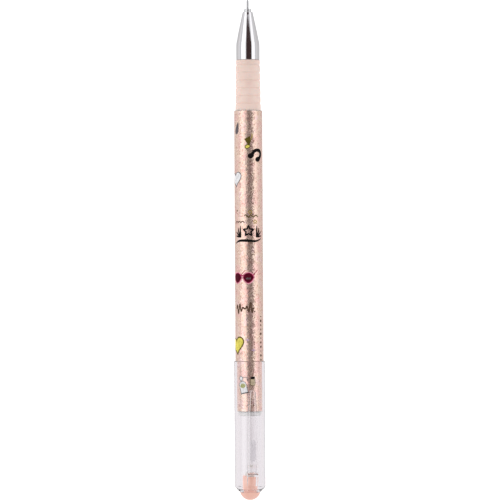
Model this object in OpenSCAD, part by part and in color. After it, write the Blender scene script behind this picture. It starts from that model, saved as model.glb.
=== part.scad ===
// Capped gel pen, lying on its side with the clip up and the cap posted on its tail. Millimetres.
// Each sub-part is drawn along the Z axis, with Z = 0 at the flat of the cap's dome and the clip at -Y.
// At the end the pen is laid down along Y: the tip points to +Y and the cap touches Z = 0.

/* [Barrel] */
// Outside diameter over the printed film
barrel_d = 9.44; // [9.3:0.02:9.8]
// Length of the full-diameter barrel, from the cap's mouth to the grip
barrel_len = 84.2; // [70:0.1:95]
// Outside diameter of the stepped-down tail, over the film
tail_d = 8.47; // [8.3:0.01:8.5]
// Length of the stepped-down tail
tail_len = 17.1; // [14:0.1:20]
// Bore of the barrel tube
bore_d = 5.9; // [5.8:0.02:6]
// Thickness of the printed film
film_t = 0.05; // [0.03:0.01:0.08]
// Height of the tail plug's visible head
plug_head = 1.3; // [1:0.1:1.6]
// Diameter of the air vent through the tail plug
vent_d = 1.2; // [0.8:0.1:1.6]

/* [Grip] */
// Length of the ringed grip sleeve
grip_len = 17; // [16:0.1:20]
// Outside diameter of the grip at the nose
grip_front_d = 8.1; // [8:0.02:8.2]
// Outside diameter of the grip at the barrel
grip_back_d = 8.57; // [8.4:0.01:8.58]
// Diameter of the barrel's seat under the grip
seat_d = 7; // [6.9:0.05:7.1]
// Distance between two ring grooves
ring_pitch = 2.6; // [2.2:0.1:2.7]
// Number of ring grooves
ring_count = 6; // [4:1:6]
// Distance from the grip's front to its first groove
first_ring = 1.6; // [1.4:0.1:2]
// Depth of each groove
ring_depth = 0.12; // [0.06:0.01:0.16]

/* [Nose cone] */
// Diameter of the cone's cylindrical band
cone_d = 7.83; // [7.75:0.01:7.95]
// Length of the band
band_len = 5.35; // [5.2:0.05:6]
// Length of the tapered part
cone_len = 10.85; // [10.5:0.05:12]
// Diameter of the cone's rounded mouth
mouth_d = 3.46; // [3.4:0.02:3.6]
// Diameter of the screwed spigot at the front of the barrel
spigot_d = 6.6; // [6.5:0.05:6.7]
// Length of the screwed spigot
spigot_len = 5; // [4.5:0.1:5.1]
// Pitch of the screw
thread_pitch = 1; // [0.8:0.1:1.2]

/* [Refill] */
// Length of the refill, from the ball to the open end of its tube
refill_len = 129; // [115:0.5:129]
// Outside diameter of the ink tube
ink_tube_d = 5.6; // [5.4:0.05:5.7]
// Wall of the ink tube
ink_tube_wall = 0.45; // [0.35:0.05:0.5]
// Outside diameter of the needle
needle_d = 0.75; // [0.7:0.01:0.8]
// Length of needle in front of the collar
needle_out = 3.1; // [2.6:0.1:3.4]
// Diameter of the collar that holds the needle
collar_d = 2.35; // [2.3:0.01:2.37]
// Length of collar in front of the cone
collar_out = 1; // [0.6:0.1:1.2]
// Diameter of the writing ball
ball_d = 0.5; // [0.5:0.01:0.52]
// Length of tube that is filled with ink
ink_len = 84; // [20:1:90]
// Length of the clear grease that follows the ink
follower_len = 7; // [5:1:9]

/* [Cap] */
// Length of the cap, from its domed end to its mouth
cap_len = 46.65; // [44:0.05:50]
// Outside diameter of the cap
cap_d = 10.3; // [10.2:0.02:10.6]
// Bore of the cap
cap_bore_d = 8.62; // [8.62:0.01:8.66]
// Diameter of the cap's end face, where the plug's dome sits
cap_end_d = 6.8; // [6.7:0.05:7]
// Radius of the plug's dome
dome_r = 3.48; // [3.46:0.01:3.55]
// Diameter of the plug's sleeve inside the cap
plug_d = 5; // [4.8:0.05:5.1]
// Diameter of the rubber pad that closes the tip
seal_d = 3.2; // [3:0.05:3.4]

/* [Clip] */
// Turn of the clip round the pen, in degrees from the front
clip_turn = 8; // [-20:1:20]
// Width of the clip at its root
clip_root_w = 3.5; // [3.2:0.1:3.8]
// Width of the clip at its free end
clip_end_w = 2.3; // [2:0.1:3]
// Thickness of the clip's arm
clip_t = 1.1; // [1:0.05:1.2]
// Space between the clip's arm and the cap
clip_gap = 0.95; // [0.9:0.05:1.1]
// Distance of the clip's free end from the cap's end
clip_top = 37.2; // [34:0.1:40]

/* [Fits] */
// Gap between the end faces of pieces that move apart
face_gap = 0.05; // [0.04:0.01:0.08]
// Radial clearance of the screw and the other turning fits
turn_fit = 0.05; // [0.03:0.01:0.06]

/* [Hidden] */
$fn = 96;

// Levels along the pen, from the cap's end up to the ball
step_z = cap_len + face_gap;
tail_z = step_z - tail_len;
plug_z = tail_z - plug_head;
shoulder_z = step_z + barrel_len;
grip_z = shoulder_z + grip_len;
band_z = grip_z + band_len;
mouth_z = band_z + cone_len;
collar_z = mouth_z + collar_out;
tip_z = collar_z + needle_out;
spigot_z = grip_z + spigot_len;
refill_end_z = tip_z - refill_len;

// Tip of the refill
flange_h = 1;
flange_d = 6.2;
holder_z = spigot_z + face_gap;
neck_z = holder_z + flange_h;
neck_d = 4.4;
holder_top_d = 3;
holder_top_z = mouth_z - 2.8;
holder_stem = 6.5;
stem_channel_d = 1.4;
collar_stem_d = 1.6;
collar_stem_z = neck_z + 2.5;
needle_low_z = holder_top_z - 1.3;
needle_channel_d = 0.34;
ball_z = tip_z - ball_d / 2;
ball_room = 0.02;
lip_h = 0.13;

// Spring behind the ball
spring_wire_r = 0.03;
spring_r = 0.115;
spring_turns = 11;
spring_low_z = ball_z - 4.9;
spring_len = 4.5;
spring_steps = 10;

// Inside of the nose cone
cone_wall = 0.5;
cone_seat_d = 5.4;
cone_seat_z = neck_z + 0.1;
mouth_bore_h = 0.8;
lip_r = 0.25;

// Cap's end
cap_straight_z = 4.4;
cap_end_z = 2.6;
cap_floor_z = 3.7;
cap_floor_d = 6;
cap_taper_z = 5;
plug_top_z = 8.1;
seal_low_z = 4.6;
seal_squeeze = 0.05;
seal_z = cap_len - (tip_z - shoulder_z) + seal_squeeze;

// Clip, as radius from the pen's axis and height
knuckle_r = 0.75;
knuckle_z = 9.6;
arm_in = cap_d / 2 + clip_gap;
arm_out = arm_in + clip_t;
knuckle_at = arm_out - knuckle_r;
bead_r = 1;
bead_at = cap_d / 2 + 0.25 + bead_r;
bead_z = clip_top - 1.6;
straight_z = 24;
pad_w = 1.9;
pad_z = [13.4, 20.6];
pad_h = 0.15;

// A solid of revolution from points of radius and height
module revolve(points) {
    rotate_extrude() polygon(points);
}

// A tube between two heights
module tube(outer_d, inner_d, low, high) {
    translate([0, 0, low])
        difference() {
            cylinder(d = outer_d, h = high - low);
            translate([0, 0, -1]) cylinder(d = inner_d, h = high - low + 2);
        }
}

// A rod between two heights
module rod(d, low, high) {
    translate([0, 0, low]) cylinder(d = d, h = high - low);
}

// Extrudes an outline of radius and height across the clip's width
module across_clip(width) {
    rotate([0, 0, clip_turn])
        rotate([90, 0, -90])
            translate([0, 0, -width / 2])
                linear_extrude(width) children();
}

// Clear tube: tail, main barrel, seat for the grip and screwed spigot in one moulding
module barrel_tube() {
    tail_r = tail_d / 2 - film_t;
    main_r = barrel_d / 2 - film_t;
    spigot_r = spigot_d / 2;
    thread_depth = 0.15;
    edge = 0.3;
    turns = floor((spigot_len - 1) / thread_pitch);
    thread = [for (i = [0 : turns - 1], half = [0, 1])
        [spigot_r - thread_depth * (1 - half), grip_z + 0.6 + thread_pitch * (i + half / 2)]];
    color([0.93, 0.94, 0.95, 0.5])
        revolve(concat(
            [[bore_d / 2, tail_z], [tail_r - edge, tail_z], [tail_r, tail_z + edge],
             [tail_r, step_z + film_t], [main_r, step_z + film_t], [main_r, shoulder_z - 0.15],
             [main_r - 0.15, shoulder_z], [seat_d / 2, shoulder_z], [seat_d / 2, grip_z],
             [spigot_r, grip_z]],
            thread,
            [[spigot_r, spigot_z - 0.3], [spigot_r - 0.2, spigot_z], [bore_d / 2, spigot_z]]));
}

// Printed glitter film over the barrel, its step and the tail
module barrel_film() {
    tail_r = tail_d / 2;
    main_r = barrel_d / 2;
    film_low = tail_z + 0.35;
    film_high = shoulder_z - 0.15;
    color([0.91, 0.78, 0.73])
        revolve([[tail_r - film_t, film_low], [tail_r, film_low], [tail_r, step_z],
                 [main_r, step_z], [main_r, film_high], [main_r - film_t, film_high],
                 [main_r - film_t, step_z + film_t], [tail_r - film_t, step_z + film_t]]);
}

// Soft sleeve with ring grooves; each band between two grooves bulges a little
function grip_r(down) =
    let (in_pitch = (down - first_ring) / ring_pitch,
         bulge = abs(sin(180 * in_pitch)))
    (grip_front_d + (grip_back_d - grip_front_d) * down / grip_len) / 2 - ring_depth * pow(1 - bulge, 2);

module grip_sleeve() {
    points_per_ring = 8;
    pace = ring_pitch / points_per_ring;
    ringed = first_ring + (ring_count - 0.5) * ring_pitch;
    front = [for (down = [0.2 : pace : ringed]) [grip_r(down), grip_z - face_gap - down]];
    color([0.93, 0.80, 0.75])
        revolve(concat(
            [[seat_d / 2, grip_z - face_gap], [grip_front_d / 2 - 0.25, grip_z - face_gap]],
            front,
            [[grip_back_d / 2, shoulder_z + 0.4], [grip_back_d / 2, shoulder_z],
             [seat_d / 2, shoulder_z]]));
}

// Clear plug pressed into the tail: it backs the refill and lets air in
module tail_plug() {
    head_r = tail_d / 2 - 0.3;
    edge = 0.4;
    low = plug_z;
    spigot_top = refill_end_z - 0.3;
    color([0.90, 0.92, 0.94, 0.6])
        difference() {
            union() {
                revolve([[0, low], [head_r - edge, low], [head_r - edge / 4, low + edge / 4],
                         [head_r, low + edge], [head_r, tail_z], [0, tail_z]]);
                rod(bore_d, tail_z, spigot_top);
            }
            translate([0, 0, low - 1]) cylinder(d = vent_d, h = spigot_top - low + 2);
        }
}

// Plated cone that screws onto the spigot and clamps the refill's flange
module nose_cone() {
    band_r = cone_d / 2;
    mouth_r = mouth_d / 2;
    thread_r = spigot_d / 2 + turn_fit;
    bore_r = collar_d / 2 + turn_fit;
    low = grip_z + face_gap / 2;
    color([0.80, 0.81, 0.83])
        difference() {
            rotate_extrude() {
                polygon([[0, low], [band_r - 0.15, low], [band_r, low + 0.15], [band_r, band_z],
                         [mouth_r, mouth_z - lip_r], [mouth_r - lip_r, mouth_z], [0, mouth_z]]);
                translate([mouth_r - lip_r, mouth_z - lip_r]) circle(lip_r);
            }
            translate([0, 0, low - 1]) cylinder(r = thread_r, h = cone_seat_z - low + 1);
            revolve([[0, cone_seat_z - 0.01], [cone_seat_d / 2, cone_seat_z - 0.01],
                     [cone_seat_d / 2, cone_seat_z],
                     [mouth_r - cone_wall + 0.25, mouth_z - mouth_bore_h],
                     [0, mouth_z - mouth_bore_h]]);
            translate([0, 0, mouth_z - mouth_bore_h - 0.01]) cylinder(r = bore_r, h = 2);
        }
}

// Steel needle whose lip is rolled in over the ball
module needle_tube() {
    wall_r = needle_d / 2;
    channel_r = needle_channel_d / 2;
    chamber_r = ball_d / 2 + ball_room;
    color([0.72, 0.73, 0.75])
        revolve([[channel_r, needle_low_z], [wall_r, needle_low_z], [wall_r, ball_z - 0.4],
                 [chamber_r + 0.04, ball_z + lip_h], [ball_d / 2 - 0.015, ball_z + lip_h],
                 [chamber_r, ball_z], [chamber_r, ball_z - 0.2], [channel_r, ball_z - 0.32]]);
}

// Carbide ball that rolls in the needle's lip
module writing_ball() {
    color([0.45, 0.46, 0.48]) translate([0, 0, ball_z]) sphere(d = ball_d, $fn = 32);
}

// Hair spring in the needle, which presses the ball against the lip
module ball_spring() {
    sides = 6;
    rings = spring_turns * spring_steps;
    // Ring k stands across the wire at angle t along the helix
    points = [for (k = [0 : rings], s = [0 : sides - 1])
        let (t = 360 * k / spring_steps,
             a = 360 * s / sides,
             r = spring_r + spring_wire_r * cos(a))
        [r * cos(t), r * sin(t), spring_low_z + spring_len * k / rings + spring_wire_r * sin(a)]];
    walls = [for (k = [0 : rings - 1], s = [0 : sides - 1])
        let (n = (s + 1) % sides)
        [k * sides + s, k * sides + n, (k + 1) * sides + n, (k + 1) * sides + s]];
    ends = [[for (s = [sides - 1 : -1 : 0]) s],
            [for (s = [0 : sides - 1]) rings * sides + s]];
    color([0.70, 0.71, 0.73]) polyhedron(points, concat(walls, ends), convexity = 4);
}

// Turned collar that grips the needle and stands in the holder
module needle_collar() {
    color([0.80, 0.81, 0.83])
        difference() {
            union() {
                revolve([[0, holder_top_z], [collar_d / 2, holder_top_z],
                         [collar_d / 2, collar_z - 0.2], [collar_d / 2 - 0.2, collar_z],
                         [0, collar_z]]);
                rod(collar_stem_d, collar_stem_z, holder_top_z);
            }
            rod(needle_d, needle_low_z, collar_z + 1);
            rod(needle_channel_d, collar_stem_z - 1, needle_low_z + 0.01);
        }
}

// Plastic holder between the collar and the ink tube, with the flange that the cone clamps
module tip_holder() {
    tube_in = ink_tube_d - 2 * ink_tube_wall;
    color([0.94, 0.94, 0.92])
        difference() {
            union() {
                rod(tube_in, holder_z - holder_stem, holder_z);
                rod(flange_d, holder_z, neck_z);
                revolve([[0, neck_z], [neck_d / 2, neck_z], [neck_d / 2, collar_stem_z],
                         [holder_top_d / 2, holder_top_z], [0, holder_top_z]]);
            }
            rod(stem_channel_d, holder_z - holder_stem - 1, collar_stem_z);
            rod(collar_stem_d, collar_stem_z, holder_top_z + 1);
        }
}

// Clear tube that holds the ink, open at its rear end
module ink_tube() {
    color([0.88, 0.90, 0.92, 0.6])
        tube(ink_tube_d, ink_tube_d - 2 * ink_tube_wall, refill_end_z, holder_z);
}

// Gel ink, from the tube up through the holder's channel
module ink_column() {
    film = 0.03;
    top = holder_z - holder_stem;
    color([0.08, 0.08, 0.10]) {
        rod(ink_tube_d - 2 * ink_tube_wall - 2 * film, top - ink_len, top);
        rod(stem_channel_d - 2 * film, top - 0.01, collar_stem_z - film);
    }
}

// Clear grease that follows the ink down the tube
module ink_follower() {
    film = 0.03;
    top = holder_z - holder_stem - ink_len;
    color([0.85, 0.84, 0.75, 0.7])
        rod(ink_tube_d - 2 * ink_tube_wall - 2 * film, top - follower_len, top);
}

// Base of the clip, moulded on the cap and cut round for the clip's root
module clip_base() {
    knuckle_room = knuckle_r + turn_fit;
    wall = cap_d / 2;
    across_clip(clip_root_w)
        difference() {
            polygon([[wall - 0.55, 5], [wall + 0.3, 5], [arm_out - 0.4, 6.8], [arm_out - 0.15, 8.2],
                     [arm_out - 0.15, 9.2], [knuckle_at, knuckle_z], [arm_in - 0.15, 10.6],
                     [arm_in - 0.15, 11], [wall, 12.2], [wall - 0.55, 12.2]]);
            translate([knuckle_at, knuckle_z]) circle(knuckle_room);
        }
}

// Clear cap with a chamfered end, a hole for the end plug and the clip's base
module cap_shell() {
    outer = cap_d / 2;
    inner = cap_bore_d / 2;
    edge = 0.15;
    hole = plug_d / 2 + turn_fit;
    color([0.90, 0.90, 0.93, 0.5])
        union() {
            revolve([[inner + edge, cap_len], [outer - edge, cap_len], [outer, cap_len - edge],
                     [outer, cap_straight_z], [cap_end_d / 2, cap_end_z], [hole, cap_end_z],
                     [hole, cap_floor_z], [cap_floor_d / 2, cap_floor_z], [inner, cap_taper_z],
                     [inner, cap_len - edge]]);
            clip_base();
        }
}

// Clear tapered clip with a round root, a bead under its free end and a plain raised oval
module cap_clip() {
    end_r = clip_end_w / 2;
    color([0.90, 0.90, 0.93, 0.5])
        intersection() {
            across_clip(clip_root_w + 2) {
                translate([knuckle_at, knuckle_z]) circle(knuckle_r);
                translate([arm_in, knuckle_z]) square([clip_t, clip_top - 0.4 - knuckle_z]);
                translate([bead_at, bead_z]) circle(bead_r);
                translate([arm_in + 0.1, bead_z]) square([clip_t - 0.1, clip_top - bead_z]);
                translate([arm_out, pad_z[0]]) square([pad_h, pad_z[1] - pad_z[0]]);
            }
            rotate([0, 0, clip_turn])
                rotate([90, 0, 0])
                    union() {
                        linear_extrude(arm_out) {
                            polygon([[-clip_root_w / 2, 0], [clip_root_w / 2, 0],
                                     [clip_root_w / 2, straight_z], [end_r, clip_top - end_r],
                                     [-end_r, clip_top - end_r], [-clip_root_w / 2, straight_z]]);
                            translate([0, clip_top - end_r]) circle(end_r);
                        }
                        linear_extrude(arm_out + 1) {
                            translate([-pad_w / 2, pad_z[0] + pad_w / 2])
                                square([pad_w, pad_z[1] - pad_z[0] - pad_w]);
                            translate([0, pad_z[0] + pad_w / 2]) circle(pad_w / 2);
                            translate([0, pad_z[1] - pad_w / 2]) circle(pad_w / 2);
                        }
                    }
        }
}

// Coloured end plug: a dome outside the cap and a barbed sleeve inside it
module cap_end_plug() {
    barb = 0.22;
    low = cap_end_z - face_gap;
    barb_z = cap_floor_z + face_gap;
    dome_z = sqrt(pow(dome_r, 2) - 0.5);
    color([0.91, 0.74, 0.67])
        difference() {
            union() {
                intersection() {
                    translate([0, 0, dome_z]) sphere(dome_r);
                    cylinder(r = dome_r, h = low);
                }
                revolve([[0, low], [plug_d / 2, low], [plug_d / 2, barb_z],
                         [plug_d / 2 + barb, barb_z], [plug_d / 2 + barb, barb_z + 0.25],
                         [plug_d / 2, barb_z + 0.8], [plug_d / 2, plug_top_z],
                         [0, plug_top_z]]);
            }
            rod(seal_d, seal_low_z, plug_top_z + 1);
        }
}

// Rubber pad that the ball presses on when the pen is capped
module tip_seal() {
    edge = 0.3;
    color([0.78, 0.76, 0.74])
        revolve([[0, seal_low_z], [seal_d / 2, seal_low_z], [seal_d / 2, seal_z - edge],
                 [seal_d / 2 - edge, seal_z], [0, seal_z]]);
}

// Lays a sub-part on its side, the middle of the pen over the origin
module laid() {
    translate([0, -tip_z / 2, cap_d / 2]) rotate([-90, 0, 0]) children();
}

laid() barrel_tube();
laid() barrel_film();
laid() grip_sleeve();
laid() tail_plug();
laid() nose_cone();
laid() needle_tube();
laid() writing_ball();
laid() ball_spring();
laid() needle_collar();
laid() tip_holder();
laid() ink_tube();
laid() ink_column();
laid() ink_follower();
laid() cap_shell();
laid() cap_clip();
laid() cap_end_plug();
laid() tip_seal();
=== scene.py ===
"""Gel pen with its cap posted, lying on a white floor.

The pieces are made here in mesh code; those hidden inside keep their CAD shapes, with better materials."""
import math

import bmesh
import bpy
from mathutils import Matrix, Vector


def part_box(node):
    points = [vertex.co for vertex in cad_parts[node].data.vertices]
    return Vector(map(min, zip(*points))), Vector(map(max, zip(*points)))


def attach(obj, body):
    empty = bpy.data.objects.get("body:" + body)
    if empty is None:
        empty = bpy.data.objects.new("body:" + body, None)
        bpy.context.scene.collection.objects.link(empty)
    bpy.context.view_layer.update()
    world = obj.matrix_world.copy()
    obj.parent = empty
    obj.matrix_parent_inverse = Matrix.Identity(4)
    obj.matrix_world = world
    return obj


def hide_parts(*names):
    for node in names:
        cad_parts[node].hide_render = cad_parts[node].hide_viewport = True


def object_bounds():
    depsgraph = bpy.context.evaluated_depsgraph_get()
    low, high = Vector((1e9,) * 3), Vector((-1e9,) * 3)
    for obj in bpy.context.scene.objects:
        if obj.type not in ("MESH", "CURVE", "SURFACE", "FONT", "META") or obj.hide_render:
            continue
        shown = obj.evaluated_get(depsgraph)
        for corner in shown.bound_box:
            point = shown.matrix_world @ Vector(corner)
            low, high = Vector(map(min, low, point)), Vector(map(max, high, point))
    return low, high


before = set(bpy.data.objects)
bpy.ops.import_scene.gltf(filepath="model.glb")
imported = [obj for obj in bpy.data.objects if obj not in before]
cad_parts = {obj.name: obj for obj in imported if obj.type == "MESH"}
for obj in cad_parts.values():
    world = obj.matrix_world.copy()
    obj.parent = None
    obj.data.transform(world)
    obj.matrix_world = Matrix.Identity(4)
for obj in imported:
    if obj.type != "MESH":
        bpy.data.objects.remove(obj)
cad_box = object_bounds()

MM = 0.001

# The pieces are made upright, from Z = 0 at the cap's end to the tip.
# Then they are laid down along Y, with the clip up.
HALF = cad_box[1][1] / MM
AXIS_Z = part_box("cap_shell")[1][0]
LAID = Matrix.Translation((0, -HALF * MM, AXIS_Z)) @ Matrix.Rotation(math.radians(-90), 4, "X")


def bottom(node):
    """Distance of a CAD node's lower end from the cap's end, in millimetres."""
    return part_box(node)[0][1] / MM + HALF


def top(node):
    """Distance of a CAD node's upper end from the cap's end, in millimetres."""
    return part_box(node)[1][1] / MM + HALF


def reach(node):
    """Largest radius of a round CAD node, in millimetres."""
    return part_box(node)[1][0] / MM


# Sizes of the pen in millimetres, taken from the frame
FILM_R = reach("barrel_film")
TUBE_R = reach("barrel_tube")
FILM_T = FILM_R - TUBE_R
FILM_LOW = bottom("barrel_film")
FILM_HIGH = top("barrel_film")
SHOULDER_Z = bottom("grip_sleeve")
GRIP_Z = top("grip_sleeve")
GRIP_R = reach("grip_sleeve")
NOSE_R = reach("nose_cone")
NOSE_LOW = bottom("nose_cone")
NOSE_HIGH = top("nose_cone")
TIP_Z = top("writing_ball")
CAP_R = reach("cap_shell")
CAP_END_Z = bottom("cap_shell")
CAP_Z = top("cap_shell")
CLIP_HIGH = top("cap_clip")

# Sizes that the frame's boxes don't show
TAIL_R = 4.235
STEP_Z = CAP_Z + 0.05
INNER_TAIL_R = TAIL_R - FILM_T
INNER_STEP_Z = STEP_Z + FILM_T
BORE_R = 2.95
SEAT_R = 3.5
SPIGOT_R = 3.3
CAP_BORE_R = 4.31
CLIP_TURN = math.radians(8)

# The clip's round root, in millimetres from the axis and from the cap's end
ROOT_OUT = 6.45
ROOT_Z = 9.6

# Edges that turn by more than this many degrees stay sharp
SHARP = 40


# ---------------------------------------------------------------- shapes

def rounded(corners, steps=5):
    """An outline with each corner (r, z, fillet) turned into a soft curve.

    A corner of two numbers stays sharp, and no curve takes more than half of a side."""
    most = 0.49
    outline = []
    for i, corner in enumerate(corners):
        here = Vector(corner[:2])
        if len(corner) < 3:
            outline.append(here)
            continue
        back = Vector(corners[i - 1][:2]) - here
        ahead = Vector(corners[(i + 1) % len(corners)][:2]) - here
        run = corner[2] / math.tan(back.angle(ahead) / 2)
        run = min(run, back.length * most, ahead.length * most)
        start = here + back.normalized() * run
        end = here + ahead.normalized() * run
        for k in range(steps + 1):
            t = k / steps
            outline.append(start * (1 - t) ** 2 + here * 2 * t * (1 - t) + end * t * t)
    return outline


def bridge(bm, first, second):
    """Faces between two rings of corners; a ring of one corner is a pole on the axis."""
    count = max(len(first), len(second))
    if count == 1:
        return
    for i in range(count):
        j = (i + 1) % count
        corners = [first[i % len(first)], first[j % len(first)],
                   second[j % len(second)], second[i % len(second)]]
        unique = [c for k, c in enumerate(corners) if c not in corners[:k]]
        bm.faces.new(unique)


def finish_mesh(bm, name):
    """An object from a bmesh, shaded smooth except at its sharp edges."""
    bmesh.ops.recalc_face_normals(bm, faces=bm.faces)
    mesh = bpy.data.meshes.new(name)
    bm.to_mesh(mesh)
    bm.free()
    mesh.shade_smooth()
    mesh.set_sharp_from_angle(angle=math.radians(SHARP))
    piece = bpy.data.objects.new(name, mesh)
    bpy.context.scene.collection.objects.link(piece)
    return piece


def lathe(name, outline, steps=160):
    """A closed solid turned about the pen's axis, from an outline of (radius, height) in millimetres."""
    bm = bmesh.new()
    turns = [2 * math.pi * k / steps for k in range(steps)]
    rings = []
    for r, z in outline:
        if r < 1e-6:
            rings.append([bm.verts.new((0, 0, z * MM))])
            continue
        rings.append([bm.verts.new((r * MM * math.cos(a), r * MM * math.sin(a), z * MM)) for a in turns])
    for first, second in zip(rings, rings[1:] + rings[:1]):
        bridge(bm, first, second)
    return finish_mesh(bm, name)


def loft(name, rings):
    """A closed solid through rings of points in metres, with flat ends."""
    bm = bmesh.new()
    made = [[bm.verts.new(p) for p in ring] for ring in rings]
    for first, second in zip(made, made[1:]):
        bridge(bm, first, second)
    bm.faces.new(made[0])
    bm.faces.new(made[-1])
    return finish_mesh(bm, name)


def mount(piece, body, slot, material, *nodes):
    """Lays a piece down, gives it its material and body, and lets it stand for CAD nodes; the slot argument
    is not used.
    """
    if material:
        piece.data.materials.append(material)
    piece.matrix_world = LAID
    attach(piece, body)
    if nodes:
        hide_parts(*nodes)
    return piece


# ---------------------------------------------------------------- materials

class Recipe:
    """A material under construction, around its Principled shader."""

    def __init__(self, name, **values):
        self.material = bpy.data.materials.new(name)
        self.material.use_nodes = True
        self.tree = self.material.node_tree
        self.shader = self.tree.nodes["Principled BSDF"]
        for socket, value in values.items():
            self.set(socket.replace("_", " "), value)

    def set(self, socket, value):
        """Sets one value or colour of the shader; a colour gets its alpha."""
        if isinstance(value, tuple) and len(value) == 3 and socket != "Subsurface Radius":
            value = (*value, 1)
        self.shader.inputs[socket].default_value = value

    def node(self, kind, **settings):
        made = self.tree.nodes.new("ShaderNode" + kind)
        for key, value in settings.items():
            setattr(made, key, value)
        return made

    def link(self, output, target):
        """Links to an input, or to the shader's input of that name."""
        if isinstance(target, str):
            target = self.shader.inputs[target]
        self.tree.links.new(output, target)

    def places(self, stretch=(1, 1, 1)):
        """Object coordinates in metres, stretched."""
        coords = self.node("TexCoord")
        mapping = self.node("Mapping")
        mapping.inputs["Scale"].default_value = stretch
        self.link(coords.outputs["Object"], mapping.inputs["Vector"])
        return mapping.outputs["Vector"]

    def noise(self, scale, detail=3.0, stretch=(1, 1, 1)):
        made = self.node("TexNoise")
        made.inputs["Scale"].default_value = scale
        made.inputs["Detail"].default_value = detail
        self.link(self.places(stretch), made.inputs["Vector"])
        return made

    def cells(self, scale, stretch=(1, 1, 1)):
        made = self.node("TexVoronoi")
        made.inputs["Scale"].default_value = scale
        self.link(self.places(stretch), made.inputs["Vector"])
        return made

    def ramp(self, source, *stops):
        """A colour ramp from (position, colour) stops."""
        made = self.node("ValToRGB")
        ramp = made.color_ramp
        while len(ramp.elements) < len(stops):
            ramp.elements.new(0.5)
        for element, (position, colour) in zip(ramp.elements, stops):
            element.position = position
            element.color = (*colour, 1)
        self.link(source, made.inputs["Fac"])
        return made.outputs["Color"]

    def spread(self, source, low, high):
        """Maps a texture's 0 to 1 onto low to high."""
        made = self.node("MapRange")
        made.inputs["To Min"].default_value = low
        made.inputs["To Max"].default_value = high
        self.link(source, made.inputs["Value"])
        return made.outputs["Result"]

    def product(self, first, second):
        """One colour multiplied by another."""
        made = self.node("Mix", data_type="RGBA", blend_type="MULTIPLY")
        made.inputs["Factor"].default_value = 1.0
        self.link(first, made.inputs["A"])
        self.link(second, made.inputs["B"])
        return made.outputs["Result"]

    def bump(self, source, depth, strength):
        """Bumps the surface by a texture whose full depth is given in millimetres."""
        made = self.node("Bump")
        made.inputs["Strength"].default_value = strength
        made.inputs["Distance"].default_value = depth * MM
        self.link(source, made.inputs["Height"])
        self.link(made.outputs["Normal"], "Normal")

    def tilt(self, colour, amount):
        """Tilts each patch of the surface its own way, by up to about half the given amount."""
        centred = self.node("VectorMath", operation="SUBTRACT")
        centred.inputs[1].default_value = (0.5, 0.5, 0.5)
        self.link(colour, centred.inputs[0])
        tilt = self.node("VectorMath", operation="SCALE")
        tilt.inputs["Scale"].default_value = amount
        self.link(centred.outputs["Vector"], tilt.inputs[0])
        surface = self.node("NewGeometry")
        added = self.node("VectorMath", operation="ADD")
        self.link(surface.outputs["Normal"], added.inputs[0])
        self.link(tilt.outputs["Vector"], added.inputs[1])
        unit = self.node("VectorMath", operation="NORMALIZE")
        self.link(added.outputs["Vector"], unit.inputs[0])
        self.link(unit.outputs["Vector"], "Normal")


def glitter_film():
    """Rose-gold film of tiny flakes.

    Each flake has a tilt and a shade of its own, and the tint drifts between patches."""
    m = Recipe("glitter_film", Metallic=0.80, Coat_Weight=0.10, Coat_Roughness=0.12)
    flakes = m.cells(3600, (1, 1, 0.6))
    shade = m.node("SeparateColor")
    m.link(flakes.outputs["Color"], shade.inputs["Color"])
    dim = m.ramp(shade.outputs["Red"], (0.0, (0.66, 0.50, 0.45)), (0.16, (0.88, 0.81, 0.79)),
                 (0.8, (0.97, 0.96, 0.96)), (1.0, (1.0, 1.0, 1.0)))
    patches = m.noise(420, 2, (1, 1, 0.7))
    tint = m.ramp(patches.outputs["Fac"], (0.34, (1.0, 0.67, 0.61)), (0.46, (0.99, 0.72, 0.63)),
                  (0.58, (0.99, 0.77, 0.63)), (0.68, (0.98, 0.73, 0.69)))
    m.link(m.product(tint, dim), "Base Color")
    m.link(m.spread(shade.outputs["Green"], 0.20, 0.40), "Roughness")
    m.tilt(flakes.outputs["Color"], 0.20)
    return m.material


def soft_rubber():
    """Satin peach elastomer with a fine moulded grain and a little light under its skin."""
    m = Recipe("peach_grip", Subsurface_Weight=0.25, Subsurface_Scale=0.0012, Sheen_Weight=0.15,
               Subsurface_Radius=(1.0, 0.55, 0.4))
    cloud = m.noise(260, 4)
    colour = m.ramp(cloud.outputs["Fac"], (0.3, (0.865, 0.63, 0.55)), (0.7, (0.92, 0.695, 0.615)))
    m.link(colour, "Base Color")
    m.link(m.spread(m.noise(900).outputs["Fac"], 0.36, 0.52), "Roughness")
    m.bump(m.noise(6500, 2).outputs["Fac"], 0.012, 0.5)
    return m.material


def chrome():
    """Mirror plating with faint haze and hairline polishing marks round the cone."""
    m = Recipe("chrome_nose", Base_Color=(0.81, 0.79, 0.81), Metallic=1.0)
    m.link(m.spread(m.noise(700, 4).outputs["Fac"], 0.05, 0.11), "Roughness")
    m.bump(m.noise(1500, 3, (0.25, 0.25, 3)).outputs["Fac"], 0.004, 0.25)
    return m.material


def drawn_steel(name, colour, roughness, stretch):
    """Fine metal with marks drawn along or turned round it."""
    m = Recipe(name, Base_Color=colour, Metallic=1.0)
    marks = m.noise(4200, 3, stretch)
    m.link(m.spread(marks.outputs["Fac"], roughness * 0.7, roughness * 1.3), "Roughness")
    m.bump(marks.outputs["Fac"], 0.004, 0.4)
    return m.material


def clear_plastic(name, tint, haze=0.02, index=1.49, milk=0.0):
    """Clear moulding with faint flow lines, a few hazy patches of handling and some milkiness."""
    m = Recipe(name, Base_Color=tint, Transmission_Weight=1.0 - milk, IOR=index)
    m.link(m.spread(m.noise(180, 3).outputs["Fac"], haze * 0.4, haze * 2), "Roughness")
    m.bump(m.noise(120, 2, (1, 1, 0.3)).outputs["Fac"], 0.008, 0.15)
    return m.material


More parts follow.
